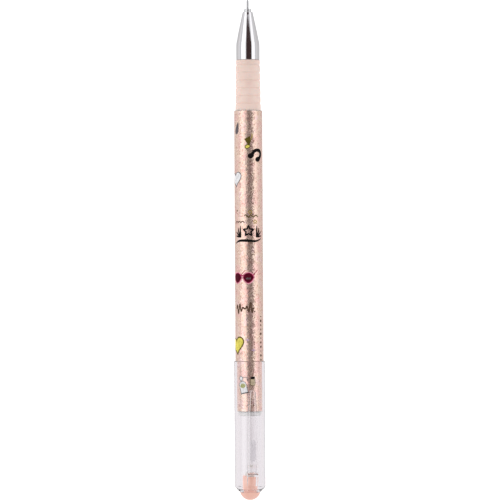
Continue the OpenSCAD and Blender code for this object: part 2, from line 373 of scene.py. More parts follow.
def moulded(name, dark, light, roughness, coat=0.0, transmission=0.0, grain=0.006):
    """Opaque or milky moulded plastic with slight cloudiness and a fine grain."""
    m = Recipe(name, Coat_Weight=coat, Coat_Roughness=0.08, Transmission_Weight=transmission, IOR=1.49)
    m.link(m.ramp(m.noise(320, 4).outputs["Fac"], (0.3, dark), (0.7, light)), "Base Color")
    m.link(m.spread(m.noise(1100).outputs["Fac"], roughness * 0.8, roughness * 1.2), "Roughness")
    m.bump(m.noise(3800, 2).outputs["Fac"], grain, 0.4)
    return m.material


def ink(name, colour, metallic=0.0):
    """Printed ink whose shade and gloss vary a little across a drawing."""
    m = Recipe("ink_" + name, Metallic=metallic, Specular_IOR_Level=0.04)
    darker = tuple(0.72 * c for c in colour)
    m.link(m.ramp(m.noise(1400, 3).outputs["Fac"], (0.35, darker), (0.6, colour)), "Base Color")
    m.link(m.spread(m.noise(2500).outputs["Fac"], 0.4, 0.625), "Roughness")
    return m.material


# ---------------------------------------------------------------- barrel, grip and tail

def make_film():
    """Film round the barrel, its step and its tail."""
    corners = [(INNER_TAIL_R, FILM_LOW), (TAIL_R, FILM_LOW, 0.03), (TAIL_R, STEP_Z, 0.12),
               (FILM_R, STEP_Z, 0.12), (FILM_R, FILM_HIGH, 0.03), (TUBE_R, FILM_HIGH),
               (TUBE_R, INNER_STEP_Z, 0.12), (INNER_TAIL_R, INNER_STEP_Z, 0.12)]
    film = lathe("printed_film", rounded(corners), 256)
    mount(film, "barrel", "glitter_film", glitter_film(), "barrel_film")


def make_tube():
    """Clear barrel with its grip seat and the ridges of its screw."""
    tail = bottom("barrel_tube")
    end = top("barrel_tube")
    seat_z = GRIP_Z + 0.05
    first_ridge, pitch, depth = 0.65, 1.0, 0.15
    ridges = []
    for k in range(4):
        z = GRIP_Z + first_ridge + k * pitch
        ridges += [(SPIGOT_R - depth, z, 0.05), (SPIGOT_R, z + pitch / 2, 0.08)]
    corners = [(BORE_R, tail, 0.1), (INNER_TAIL_R, tail, 0.28), (INNER_TAIL_R, INNER_STEP_Z, 0.1),
               (TUBE_R, INNER_STEP_Z, 0.1), (TUBE_R, SHOULDER_Z, 0.15), (SEAT_R, SHOULDER_Z),
               (SEAT_R, seat_z, 0.05), (SPIGOT_R, seat_z)]
    corners += ridges + [(SPIGOT_R, end - 0.3), (SPIGOT_R - 0.2, end), (BORE_R, end, 0.1)]
    clear = clear_plastic("clear_barrel", (0.97, 0.96, 0.96), milk=0.4)
    mount(lathe("clear_tube", rounded(corners)), "barrel", "clear_barrel", clear, "barrel_tube")


def grip_radius(down):
    """Radius of the grip at a distance below its front: soft bands between narrow ring grooves."""
    first, pitch, count = 1.6, 2.6, 6
    front_r, depth, width, hollow = 4.05, 0.20, 0.20, 0.05
    length = GRIP_Z - SHOULDER_Z
    base = front_r + (GRIP_R - front_r) * down / length
    nearest = min(abs(down - first - k * pitch) for k in range(count))
    dip = depth * math.exp(-(nearest / width) ** 2)
    sag = hollow * (1 - min(1, nearest / (pitch / 2))) ** 2
    return base - dip - sag


def make_grip():
    """Ringed sleeve over the barrel's seat, with eased ends."""
    length = GRIP_Z - SHOULDER_Z
    samples = 240
    skin = [(grip_radius(length * k / samples), GRIP_Z - length * k / samples)
            for k in range(2, samples - 1)]
    front_r = skin[0][0]
    outline = [(SEAT_R, GRIP_Z), (front_r - 0.18, GRIP_Z), (front_r - 0.05, GRIP_Z - 0.05)]
    outline += skin + [(GRIP_R - 0.06, SHOULDER_Z), (SEAT_R, SHOULDER_Z)]
    mount(lathe("ringed_grip", outline, 192), "barrel", "peach_grip", soft_rubber(), "grip_sleeve")


def make_tail_plug():
    """Clear plug with an air vent, whose head covers the tube's end."""
    low = bottom("tail_plug")
    high = top("tail_plug")
    tail = bottom("barrel_tube")
    head_r = TAIL_R - 0.3
    vent_r = 0.6
    corners = [(vent_r, low, 0.12), (head_r, low, 0.45), (head_r, tail), (BORE_R, tail),
               (BORE_R, high, 0.2), (vent_r, high, 0.1)]
    clear = clear_plastic("clear_plug", (0.96, 0.93, 0.92), 0.06, milk=0.6)
    mount(lathe("vented_tail_plug", rounded(corners)), "barrel", "clear_plug", clear, "tail_plug")


# ---------------------------------------------------------------- nose and refill

BALL_R = 0.25
NEEDLE_R = 0.375
CHANNEL_R = 0.17


def make_nose():
    """Plated cone with a rounded mouth, a barely swollen taper and a plain band."""
    band_z, seat_z = 153.25, 154.0
    mouth_r, bore_r, screw_r, seat_r = 1.73, 1.225, 3.35, 2.7
    lip, bore_h, steps = 0.25, 0.8, 24
    taper = []
    for k in range(1, steps):
        t = k / steps
        swell = 0.05 * math.sin(math.pi * t)
        taper.append((NOSE_R + (mouth_r - NOSE_R) * t + swell, band_z + (NOSE_HIGH - lip - band_z) * t))
    corners = [(screw_r, NOSE_LOW, 0.05), (NOSE_R, NOSE_LOW, 0.12), (NOSE_R, band_z - 0.9)] + taper
    corners += [(mouth_r, NOSE_HIGH - lip / 2, 0.2), (mouth_r - 0.12, NOSE_HIGH, 0.12),
                (bore_r, NOSE_HIGH, 0.08), (bore_r, NOSE_HIGH - bore_h), (1.48, NOSE_HIGH - bore_h),
                (seat_r, seat_z), (screw_r, seat_z)]
    mount(lathe("screw_nose", rounded(corners), 192), "nose", "chrome_nose", chrome(), "nose_cone")


def make_needle():
    """Tube that narrows to a lip, which is turned in over the ball."""
    low = bottom("needle_tube")
    ball_z = TIP_Z - BALL_R
    lip_z = ball_z + 0.13
    r, socket = NEEDLE_R, BALL_R + 0.02
    corners = [(CHANNEL_R, low), (r, low, 0.03), (r, ball_z - 0.45, 0.2), (0.31, lip_z, 0.02),
               (0.235, lip_z, 0.01), (socket, ball_z), (socket, ball_z - 0.2), (CHANNEL_R, ball_z - 0.32)]
    steel = drawn_steel("needle_steel", (0.62, 0.62, 0.63), 0.24, (1, 1, 0.1))
    mount(lathe("drawn_needle", rounded(corners), 64), "refill", "needle_steel", steel, "needle_tube")


def make_ball():
    """Writing ball, from its rear pole to the tip."""
    r = BALL_R
    half_turn = [math.pi * k / 24 for k in range(25)]
    outline = [(r * math.sin(a), TIP_Z - r - r * math.cos(a)) for a in half_turn]
    carbide = drawn_steel("ball_carbide", (0.30, 0.30, 0.32), 0.2, (1, 1, 1))
    mount(lathe("carbide_ball", outline, 48), "ball", "ball_carbide", carbide, "writing_ball")


def make_collar():
    """Stepped holder of the needle, with a countersunk mouth."""
    low = bottom("needle_collar")
    high = top("needle_collar")
    r, stem_r, bore_r = 1.175, 0.8, NEEDLE_R + 0.003
    stem_z = NOSE_HIGH - 2.8
    needle_z = bottom("needle_tube")
    corners = [(CHANNEL_R, low), (stem_r, low, 0.05), (stem_r, stem_z), (r, stem_z), (r, high, 0.22),
               (bore_r + 0.12, high, 0.05), (bore_r, high - 0.15), (bore_r, needle_z),
               (CHANNEL_R, needle_z)]
    metal = drawn_steel("collar_metal", (0.74, 0.74, 0.75), 0.3, (0.4, 0.4, 4))
    mount(lathe("turned_collar", rounded(corners), 96), "refill", "collar_metal", metal, "needle_collar")


def paint_refill():
    """The hidden and plain round pieces keep their CAD shapes."""
    milky = moulded("holder_plastic", (0.86, 0.86, 0.83), (0.93, 0.93, 0.90), 0.42, transmission=0.15)
    tube = clear_plastic("ink_tube_plastic", (0.95, 0.96, 0.97), 0.12, 1.5)
    gel = moulded("gel_ink", (0.008, 0.008, 0.012), (0.02, 0.02, 0.028), 0.18, coat=1.0)
    grease = clear_plastic("follower_grease", (0.95, 0.93, 0.82), 0.06, 1.46)
    wire = drawn_steel("spring_steel", (0.6, 0.6, 0.62), 0.28, (1, 1, 1))
    rubber = moulded("seal_rubber", (0.60, 0.56, 0.53), (0.68, 0.64, 0.61), 0.6, grain=0.012)
    paints = {"tip_holder": milky, "ink_tube": tube, "ink_column": gel, "ink_follower": grease,
              "ball_spring": wire, "tip_seal": rubber}
    for node, material in paints.items():
        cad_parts[node].material_slots[0].material = material


# ---------------------------------------------------------------- cap

def clip_place(out, across, height):
    """A point of the clip in metres, from its distance out, its place across the clip and its height."""
    x = out * math.sin(CLIP_TURN) + across * math.cos(CLIP_TURN)
    y = -out * math.cos(CLIP_TURN) + across * math.sin(CLIP_TURN)
    return Vector((x * MM, y * MM, height * MM))


def clip_base():
    """The block on the cap that holds the clip's round root, cut to the root's shape."""
    room = 0.8
    cup = []
    for k in range(9):
        a = math.radians(-30 - 195 * k / 8)
        cup.append((ROOT_OUT + room * math.cos(a), ROOT_Z + room * math.sin(a)))
    side = [(4.6, 5.0), (5.45, 5.0), (6.1, 5.7), (6.8, 6.8), (7.0, 7.8), (7.05, 8.6)]
    side += cup + [(5.95, 10.6), (5.93, 11.0), (5.6, 11.7), (5.1, 12.2), (4.6, 12.2)]
    half = 1.75
    rings = [[clip_place(out, across, z) for out, z in side] for across in (-half, half)]
    return loft("clip_base", rings)


def join_solid(shell, base):
    """Makes a second solid part of the first and removes it."""
    union = shell.modifiers.new("join", "BOOLEAN")
    union.operation = "UNION"
    union.solver = "EXACT"
    union.object = base
    bpy.context.view_layer.update()
    joined = shell.evaluated_get(bpy.context.evaluated_depsgraph_get())
    solid = bpy.data.meshes.new_from_object(joined)
    shell.modifiers.clear()
    shell.data = solid
    bpy.data.objects.remove(base)
    solid.shade_smooth()
    solid.set_sharp_from_angle(angle=math.radians(SHARP))


def see_through(piece):
    """Lets the studio's light reach what is inside a clear piece without noise."""
    piece.visible_shadow = False
    piece.visible_diffuse = False


def make_cap():
    """Clear shell with a chamfered end, a hole for the plug and the clip's base."""
    floor_z, hole_r = 3.7, 2.55
    chamfer_z, end_r = 4.4, 3.4
    corners = [(CAP_BORE_R, CAP_Z, 0.16), (CAP_R, CAP_Z, 0.2), (CAP_R, chamfer_z, 0.8),
               (end_r, CAP_END_Z, 0.6), (hole_r, CAP_END_Z), (hole_r, floor_z, 0.05),
               (CAP_BORE_R, floor_z, 1.3)]
    shell = lathe("clear_cap_shell", rounded(corners, 12), 192)
    join_solid(shell, clip_base())
    clear = clear_plastic("clear_cap", (0.975, 0.965, 0.972))
    see_through(mount(shell, "cap", "clear_cap", clear, "cap_shell"))


def clip_section(height):
    """Inner and outer distance from the axis and width of the clip at a height, in millimetres."""
    arm_in, arm_out, root_r = 6.1, 7.2, 0.75
    bead_out, bead_r, bead_z = 6.4, 1.0, CLIP_HIGH - 1.6
    root_w, end_w, straight_z = 3.5, 2.3, 24.0
    inner, outer = arm_in, arm_out
    if height < ROOT_Z:
        chord = math.sqrt(max(0.0, root_r ** 2 - (ROOT_Z - height) ** 2))
        inner, outer = ROOT_OUT - chord, ROOT_OUT + chord
    elif height < ROOT_Z + root_r:
        inner = min(arm_in, ROOT_OUT - math.sqrt(root_r ** 2 - (height - ROOT_Z) ** 2))
    off_bead = abs(height - bead_z)
    if off_bead < bead_r:
        inner = min(inner, bead_out - math.sqrt(bead_r ** 2 - off_bead ** 2))
    taper = min(1, max(0, (height - straight_z) / (CLIP_HIGH - end_w / 2 - straight_z)))
    width = root_w + (end_w - root_w) * taper
    left = CLIP_HIGH - height
    if left < end_w / 2:
        width = 2 * math.sqrt(max(0.0, (end_w / 2) ** 2 - (end_w / 2 - left) ** 2))
        outer -= 0.45 * (1 - left / (end_w / 2)) ** 2
    return inner, outer, width


def clip_ring(height):
    """A rounded rectangle across the clip, with a slightly crowned outer face."""
    inner, outer, width = clip_section(height)
    corner = min(0.3, 0.45 * width, 0.45 * (outer - inner))
    points = []
    for out, across, turn in ((outer, width / 2, 0), (outer, -width / 2, 90), (inner, -width / 2, 180),
                              (inner, width / 2, 270)):
        for k in range(6):
            a = math.radians(turn + 90 - 90 * (1 - k / 5))
            centre_out = out - corner if out == outer else out + corner
            centre_across = across - corner if across > 0 else across + corner
            points.append((centre_out + corner * math.cos(a), centre_across + corner * math.sin(a)))
    return [clip_place(out, across, height) for out, across in points]


def make_clip():
    """Clip arm, with its rings close together at the round root and the rounded end."""
    low = bottom("cap_clip")
    straight_low, straight_high = low + 2, CLIP_HIGH - 3.2
    heights = [low + 0.02 + 1.6 * (1 - math.cos(math.pi / 2 * k / 14)) for k in range(15)]
    heights += [straight_low + (straight_high - straight_low) * k / 40 for k in range(41)]
    heights += [CLIP_HIGH - 3.1 + 3.08 * math.sin(math.pi / 2 * k / 24) for k in range(25)]
    piece = loft("clear_clip_arm", [clip_ring(z) for z in heights])
    clear = clear_plastic("clear_clip", (0.965, 0.955, 0.962), 0.03)
    see_through(mount(piece, "clip", "clear_clip", clear, "cap_clip"))


def make_clip_oval():
    """A plain raised oval on the clip, slightly frosted."""
    low, high, half, base, rise = 13.4, 20.6, 0.95, 7.21, 0.14
    rings = []
    for level, shrink in ((0, 0), (rise * 0.6, 0.0), (rise, 0.12), (rise * 1.05, 0.4)):
        ring = []
        for k in range(64):
            a = 2 * math.pi * k / 64
            mid = high - half if math.sin(a) > 0 else low + half
            across = (half - shrink) * math.cos(a)
            ring.append(clip_place(base + level, across, mid + (half - shrink) * math.sin(a)))
        rings.append(ring)
    frosted = clear_plastic("frosted_oval", (0.93, 0.92, 0.94), 0.18, milk=0.1)
    mount(loft("clip_oval", rings), "clip", "clear_clip", frosted)


def make_cap_plug():
    """Peach dome outside the cap, with a barbed hollow sleeve inside it."""
    dome_r, flat_r, plug_r, barb_r = 3.48, math.sqrt(0.5), 2.5, 2.72
    pocket_r, pocket_z = 1.6, 4.6
    high = top("cap_end_plug")
    centre = math.sqrt(dome_r ** 2 - flat_r ** 2)
    head_z = CAP_END_Z - 0.05
    barb_z = 3.75
    dome = [(0.0, 0.0)]
    for k in range(25):
        z = head_z * (k / 24) ** 1.5
        dome.append((math.sqrt(dome_r ** 2 - (centre - z) ** 2), z))
    sleeve = [(plug_r, head_z), (plug_r, barb_z), (barb_r, barb_z + 0.02), (barb_r, barb_z + 0.25),
              (plug_r, barb_z + 0.8), (plug_r, high - 0.15), (plug_r - 0.15, high),
              (pocket_r, high), (pocket_r, pocket_z), (0.0, pocket_z)]
    peach = moulded("peach_plug", (0.87, 0.47, 0.37), (0.94, 0.55, 0.45), 0.32, coat=0.3)
    mount(lathe("domed_end_plug", dome + sleeve), "cap_end", "peach_plug", peach, "cap_end_plug")


# ---------------------------------------------------------------- doodles

# Thickness of one layer of ink, and how far a drawing's underside goes into the film, in millimetres
INK_T = 0.012
INK_SUNK = -0.02

# Each ink's colour and how metallic it is
INKS = {
    "black": ((0.010, 0.008, 0.008), 0.0), "graphite": ((0.15, 0.13, 0.14), 0.0),
    "white": ((0.88, 0.86, 0.87), 0.0), "gold": ((0.52, 0.38, 0.08), 0.5),
    "burgundy": ((0.09, 0.003, 0.014), 0.0), "magenta": ((0.42, 0.02, 0.10), 0.0),
    "pink": ((0.85, 0.40, 0.46), 0.0), "yellow": ((0.84, 0.72, 0.14), 0.0),
    "olive": ((0.12, 0.09, 0.015), 0.0), "umber": ((0.13, 0.075, 0.05), 0.0),
    "lilac": ((0.60, 0.42, 0.62), 0.0), "moss": ((0.40, 0.40, 0.12), 0.0),
    "sand": ((0.62, 0.50, 0.34), 0.0),
}


class Doodle:
    """One drawing in thin solid ink, wrapped round the film.

    Places are (s, z) in millimetres: s runs round the barrel from the front and z along the pen."""

    made = {}

    def __init__(self, name, radius=FILM_R):
        self.name = name
        self.radius = radius
        self.bm = bmesh.new()
        self.inks = []

    def wrap(self, point, rise):
        """A corner on the barrel, raised off the film by some millimetres."""
        r = self.radius + rise
        a = point[0] / self.radius
        return self.bm.verts.new((r * math.sin(a) * MM, -r * math.cos(a) * MM, point[1] * MM))

    def paint(self, faces_before, colour):
        """Gives a colour to the faces made since there were that many."""
        if colour not in self.inks:
            self.inks.append(colour)
        for face in list(self.bm.faces)[faces_before:]:
            face.material_index = self.inks.index(colour)

    def stroke(self, points, width, colour, closed=False, layer=1, pointed=False):
        """A line of ink along points, closed into a loop or with pointed ends if asked."""
        start = len(self.bm.faces)
        points = [Vector(p) for p in points]
        count = len(points)
        rings = []
        for i, here in enumerate(points):
            before = points[i - 1] if closed or i else here
            after = points[(i + 1) % count] if closed or i < count - 1 else here
            along = (after - before).normalized()
            side = Vector((-along.y, along.x)) * width / 2
            if pointed:
                side *= 0.25 + 0.75 * math.sin(math.pi * i / (count - 1))
            rise = INK_T * layer + INK_T
            section = ((1, INK_SUNK), (0.9, rise), (0, rise), (-0.9, rise), (-1, INK_SUNK))
            rings.append([self.wrap(here + side * share, level) for share, level in section])
        pairs = list(zip(rings, rings[1:]))
        if closed:
            pairs.append((rings[-1], rings[0]))
        for first, second in pairs:
            bridge(self.bm, first, second)
        if not closed:
            self.bm.faces.new(rings[0])
            self.bm.faces.new(rings[-1])
        self.paint(start, colour)

    def fill(self, outline, centre, colour, layer=0):
        """A filled shape; every point of its outline can be seen from its centre."""
        start = len(self.bm.faces)
        centre = Vector(centre)
        outline = [Vector(p) for p in outline]
        rise = INK_T * layer + 0.010
        hub = [self.wrap(centre, rise)]
        rings = [hub]
        for share in (k / 8 for k in range(1, 9)):
            rings.append([self.wrap(centre.lerp(p, share), rise) for p in outline])
        rings.append([self.wrap(p, INK_SUNK) for p in outline])
        rings.append([self.wrap(centre, INK_SUNK)])
        for first, second in zip(rings, rings[1:]):
            bridge(self.bm, first, second)
        self.paint(start, colour)

    def finish(self):
        piece = finish_mesh(self.bm, "doodle_" + self.name)
        for colour in self.inks:
            if colour not in Doodle.made:
                Doodle.made[colour] = ink(colour, *INKS[colour])
            piece.data.materials.append(Doodle.made[colour])
        mount(piece, "barrel", "glitter_film", None)


def placed(shape, s, z, size, turn=0.0):
    """A unit shape moved to its place, scaled and turned by degrees."""
    a = math.radians(turn)
    ca, sa = math.cos(a), math.sin(a)
    return [(s + size * (u * ca - v * sa), z + size * (u * sa + v * ca)) for u, v in shape]


def along(points, gap=0.12):
    """Points at an even gap along straight lines between the given ones."""
    out = []
    for (u0, v0), (u1, v1) in zip(points, points[1:]):
        count = max(1, round(math.hypot(u1 - u0, v1 - v0) / gap))
        out += [(u0 + (u1 - u0) * k / count, v0 + (v1 - v0) * k / count) for k in range(count)]
    return out + [points[-1]]


def curve(points):
    """A smooth line through the given points."""
    steps = 8
    knots = [Vector(p) for p in points]
    knots = [knots[0] * 2 - knots[1]] + knots + [knots[-1] * 2 - knots[-2]]
    out = []
    for a, b, c, d in zip(knots, knots[1:], knots[2:], knots[3:]):
        square = a * 2 - b * 5 + c * 4 - d
        cube = b * 3 - a - c * 3 + d
        for t in (k / steps for k in range(steps)):
            out.append((b * 2 + (c - a) * t + square * t ** 2 + cube * t ** 3) / 2)
    return out + [knots[-2]]


def round_shape(radius_at, count=48):
    """A closed unit shape from its radius at each angle."""
    angles = [2 * math.pi * k / count for k in range(count)]
    return [(radius_at(a) * math.cos(a), radius_at(a) * math.sin(a)) for a in angles]


def circle(count=32):
    return round_shape(lambda a: 1.0, count)


def heart():
    """A heart one unit from its centre to its point."""
    shape = []
    count = 56
    for k in range(count):
        t = 2 * math.pi * k / count
        u = 16 * math.sin(t) ** 3
        v = 13 * math.cos(t) - 5 * math.cos(2 * t) - 2 * math.cos(3 * t) - math.cos(4 * t)
        shape.append((u / 17, v / 17))
    return shape


def star():
    """A five-pointed star, as points at an even gap."""
    points, inner = 5, 0.45
    shape = []
    for k in range(2 * points):
        r = 1 if k % 2 == 0 else inner
        a = math.pi / 2 + math.pi * k / points
        shape.append((r * math.cos(a), r * math.sin(a)))
    return along(shape + shape[:1], 0.2)[:-1]


def arc(s, z, r, start, end, count=20):
    """Points on a circle between two angles in degrees."""
    angles = [math.radians(start + (end - start) * k / count) for k in range(count + 1)]
    return [(s + r * math.cos(a), z + r * math.sin(a)) for a in angles]


def outlined_points(doodle, points, centre, inside, edge, width):
    doodle.fill(points, centre, inside)
    doodle.stroke(points, width, edge, closed=True)


def outlined(doodle, shape, s, z, size, turn, inside, edge, width=0.28):
    """A filled unit shape with an outline, moved to its place."""
    outlined_points(doodle, placed(shape, s, z, size, turn), (s, z), inside, edge, width)


def draw_heart(name, s, z, size, inside, edge, turn=0, radius=FILM_R, width=0.28):
    d = Doodle(name, radius)
    outlined(d, heart(), s, z, size, turn, inside, edge, width)
    return d


def draw_leaf(name, s, z, size, colour, turn=0):
    """A slim leaf that swells towards its lower end."""
    d = Doodle(name)
    angles = [2 * math.pi * k / 40 for k in range(40)]
    shape = [(0.36 * math.sin(a) * (1 - 0.6 * math.cos(a)), math.cos(a)) for a in angles]
    d.fill(placed(shape, s, z, size, turn), (s, z), colour)
    return d


def draw_trinkets(name, s, z, size):
    """A gold wave with a ring over it and a little star under it."""
    d = Doodle(name)
    wave = [(-2.4 + 4.8 * t, 0.45 * math.sin(17 * t) * (1 - 0.4 * t)) for t in (k / 60 for k in range(61))]
    ring = [(0.55 * u - 0.4, 0.5 * v + 1.3) for u, v in circle(24)]
    little_star = [(0.75 * u + 1.3, 0.75 * v - 1.9) for u, v in star()]
    d.stroke(placed(wave, s, z, size), 0.36, "olive")
    d.stroke(placed(ring, s, z, size), 0.26, "gold", closed=True)
    d.stroke(placed(little_star, s, z, size), 0.24, "gold", closed=True)
    return d


def draw_scallops(name, s, z, size, colour, humps, line):
    """Small humps in a row, like the edge of a cloud."""
    d = Doodle(name)
    for k in range(humps):
        middle = s + 2 * size * (k - (humps - 1) / 2)
        d.stroke(arc(middle, z, size, 175, 5, 12), line, colour)
    return d


def draw_note(name, s, z, size, stem="olive", turn=0):
    """One note: a hollow head with a pale middle, a wedge-shaped stem and a flag."""
    d = Doodle(name)
    head = placed([(0.72 * u, 0.50 * v) for u, v in circle()], s, z, size, 20 + turn)
    outlined_points(d, head, (s, z), "yellow", stem, 0.26 * size)
    wedge = along([(0.35, 0.2), (-0.9, 2.1), (0.7, 2.9), (1.0, 1.5), (0.35, 0.2)], 0.2)[:-1]
    d.fill(placed(wedge, s, z, size, turn), placed([(0.4, 1.9)], s, z, size, turn)[0], stem, layer=1)
    flag = curve([(0.9, 1.8), (1.35, 2.9), (1.15, 3.7)])
    d.stroke(placed(flag, s, z, size, turn), 0.35 * size, "gold", layer=2, pointed=True)
    return d


def draw_beamed_notes(name, s, z, size, turn=0):
    """Two bold notes joined by one thick swung beam."""
    d = Doodle(name)
    for u, v, wide in ((-1.1, 0.1, 1.15), (1.2, -0.95, 1.1)):
        foot = placed([(u, v)], s, z, size, turn)[0]
        head = [(0.85 * wide * a, 0.68 * wide * b) for a, b in circle()]
        d.fill(placed(head, *foot, size, 20 + turn), foot, "black")
    beam = curve([(-0.9, 0.2), (-0.3, 1.2), (0.7, 1.75), (1.9, 1.55), (2.4, 0.5), (1.7, -0.8)])
    d.stroke(placed(beam, s, z, size, turn), 1.05 * size, "black", layer=2)
    return d


def draw_burst(name, s, z, size, colour, rays, hollow=0.35, width=0.2):
    """Short strokes round a centre."""
    d = Doodle(name)
    for k in range(rays):
        a = 2 * math.pi * k / rays
        far = size * (1 if k % 2 == 0 else 0.65)
        ray = [(s + u * math.cos(a), z + u * math.sin(a)) for u, _ in along([(hollow * size, 0), (far, 0)])]
        d.stroke(ray, width, colour, pointed=True)
    return d


def draw_flourish(name, s, z):
    """Bold brush strokes: a star in outline between two sprigs, over a swoosh."""
    d = Doodle(name)
    d.stroke(placed(star(), s, z + 0.7, 1.9), 0.6, "black", closed=True)
    for side in (-1, 1):
        foot = (s + 2.6 * side, z - 1.4)
        for bend, reach_out, rise in ((0.2, 0.3, 3.9), (0.5, 1.3, 3.2), (0.5, 2.2, 1.9), (0.3, 2.5, 0.5)):
            leaf = curve([foot, (foot[0] + side * (reach_out * 0.4 + bend), foot[1] + rise * 0.55),
                          (foot[0] + side * reach_out, foot[1] + rise)])
            d.stroke(leaf, 0.62, "black", layer=1, pointed=True)
    swoosh = curve([(-5.2, -3.4), (-3.4, -2.6), (-0.6, -2.5), (2.4, -2.7), (4.9, -1.9)])
    d.stroke(placed(swoosh, s, z, 1), 0.95, "black", pointed=True)
    return d


def draw_glasses(name, s, z, size):
    """Dark glasses: shield-shaped lenses with bright rims and a grey reflection, a bridge and raised arms."""
    d = Doodle(name)
    shield = [(u * (1 - 0.3 * max(0, -v)), 0.86 * v if v > 0 else v) for u, v in circle(44)]
    for side in (-1, 1):
        at = s + side * 1.22 * size
        d.fill(placed(shield, at, z, 1.28 * size), (at, z), "pink")
        d.fill(placed(shield, at, z, size), (at, z), "burgundy", layer=1)
        d.stroke(placed(shield, at, z, size), 0.2, "magenta", closed=True, layer=2)
        arm = along([(at + 0.75 * size, z + 0.3 * size), (at + 1.75 * size, z + 1.35 * size)])
        d.stroke(arm, 0.26, "magenta", layer=1)
    for k in range(4):
        u = s + size * (0.85 + 0.24 * k)
        glint = along([(u, z - 0.35 * size), (u, z - 0.05 * size + 0.12 * (k % 2))])
        d.stroke(glint, 0.3, "graphite", layer=3)
    d.stroke(arc(s, z, 0.42 * size, 25, 155, 10), 0.3, "magenta", layer=2)
    return d


def draw_wave(name, s, z, width, height, colour, bumps, line):
    """A ragged wave of up and down strokes."""
    d = Doodle(name)
    count = bumps * 16
    points = []
    for k in range(count + 1):
        t = k / count
        swing = math.sin(2 * math.pi * bumps * t) * (0.55 + 0.45 * math.sin(9 * t))
        points.append((s + width * (t - 0.5), z + height / 2 * swing + 0.12 * height * t))
    d.stroke(points, line, colour)
    return d


def draw_dots(name, s, z, size, colour, count=1, gap=1.45):
    """A dot, or a column of dots whose size wavers."""
    d = Doodle(name)
    for k in range(count):
        centre = (s, z + gap * k)
        r = size * (0.85 + 0.25 * math.sin(2.3 * k))
        d.fill(placed(circle(14), *centre, r), centre, colour)
    return d


def draw_bottle(name, s, z, size, radius, turn=0):
    """A leaning bottle in outline, part filled, with a loop at its neck."""
    d = Doodle(name, radius)
    body = [(-0.8, -1.5), (0.8, -1.5), (0.8, 0.6), (0.35, 1.1), (-0.35, 1.1), (-0.8, 0.6)]
    body = along(body + body[:1], 0.2)[:-1]
    middle = placed([(0, -0.2)], s, z, size, turn)[0]
    outlined_points(d, placed(body, s, z, size, turn), middle, "white", "graphite", 0.2)
    patch = placed([(0.0, 0.1)], s, z, size, turn)[0]
    d.fill(placed([(0.62 * u, 0.5 * v) for u, v in circle()], *patch, size, turn), patch, "moss", layer=1)
    neck = placed([(0.0, 1.75)], s, z, size, turn)[0]
    loop = [(0.42 * u, 0.5 * v) for u, v in circle()]
    outlined_points(d, placed(loop, *neck, size), neck, "white", "graphite", 0.2)
    d.stroke(placed(curve([(0.3, 1.9), (1.2, 1.7), (1.3, 0.8)]), s, z, size, turn), 0.2, "graphite")
    d.stroke(placed(along([(-0.85, -1.6), (0.85, -1.6)]), s, z, size, turn), 0.3, "black", layer=2)
    return d


def draw_jar(name, s, z, size, radius):
    """A small jar: a dark lid over a pale body."""
    d = Doodle(name, radius)
    body = [(-0.7, -1.6), (0.7, -1.6), (0.8, -1.2), (0.8, 0.3), (0.6, 0.6),
            (-0.6, 0.6), (-0.8, 0.3), (-0.8, -1.2)]
    closed = along(body + body[:1])[:-1]
    d.fill(placed(closed, s, z, size), (s, z - 0.5 * size), "sand")
    d.stroke(placed(closed, s, z, size), 0.16, "olive", closed=True)
    d.stroke(placed(along([(-0.72, 0.9), (0.72, 0.9)]), s, z, size), 0.9 * size, "black", layer=2)
    return d


def cloud_edge(a):
    """Radius of a unit cloud at an angle: five puffs over a flat underside."""
    under = 0.25 if math.sin(a) < -0.6 else 0
    return 0.78 + 0.2 * abs(math.sin(2.5 * a)) - under


def draw_cloud(name, s, z, size, radius=FILM_R):
    d = Doodle(name, radius)
    shape = [(1.25 * u, 0.8 * v) for u, v in round_shape(cloud_edge, 60)]
    outlined(d, shape, s, z, size, 0, "white", "graphite", 0.22)
    return d


def draw_flower(name, s, z, size, petals, middle):
    """Five petals round a filled middle."""
    d = Doodle(name)
    shape = round_shape(lambda a: 0.72 + 0.28 * math.cos(5 * a), 60)
    outlined(d, shape, s, z, size, 10, petals, "black", 0.18)
    d.fill(placed(circle(20), s, z, 0.28 * size), (s, z), middle, layer=2)
    return d


def draw_star(name, s, z, size, inside, edge, turn=0, radius=FILM_R):
    d = Doodle(name, radius)
    outlined(d, star(), s, z, size, turn, inside, edge, 0.22)
    return d


def draw_bolt(name, s, z, size):
    """A zigzag flash."""
    d = Doodle(name)
    line = along([(0.3, 1.4), (-0.5, 0.1), (0.15, 0.1), (-0.3, -1.4)])
    d.stroke(placed(line, s, z, size), 0.5, "yellow", layer=2)
    d.stroke(placed(line, s, z, size), 0.85, "black")
    return d


def draw_balloon(name, s, z, size, colour):
    """A round balloon on a wavy string."""
    d = Doodle(name)
    shape = round_shape(lambda a: 1.0 + (0.18 if math.sin(a) < -0.97 else 0.0), 48)
    outlined(d, [(0.82 * u, v) for u, v in shape], s, z, size, 0, colour, "black", 0.2)
    string = [(s + 0.25 * math.sin(6 * t), z - size * (1.1 + 1.5 * t)) for t in [k / 20 for k in range(21)]]
    d.stroke(string, 0.16, "black")
    return d


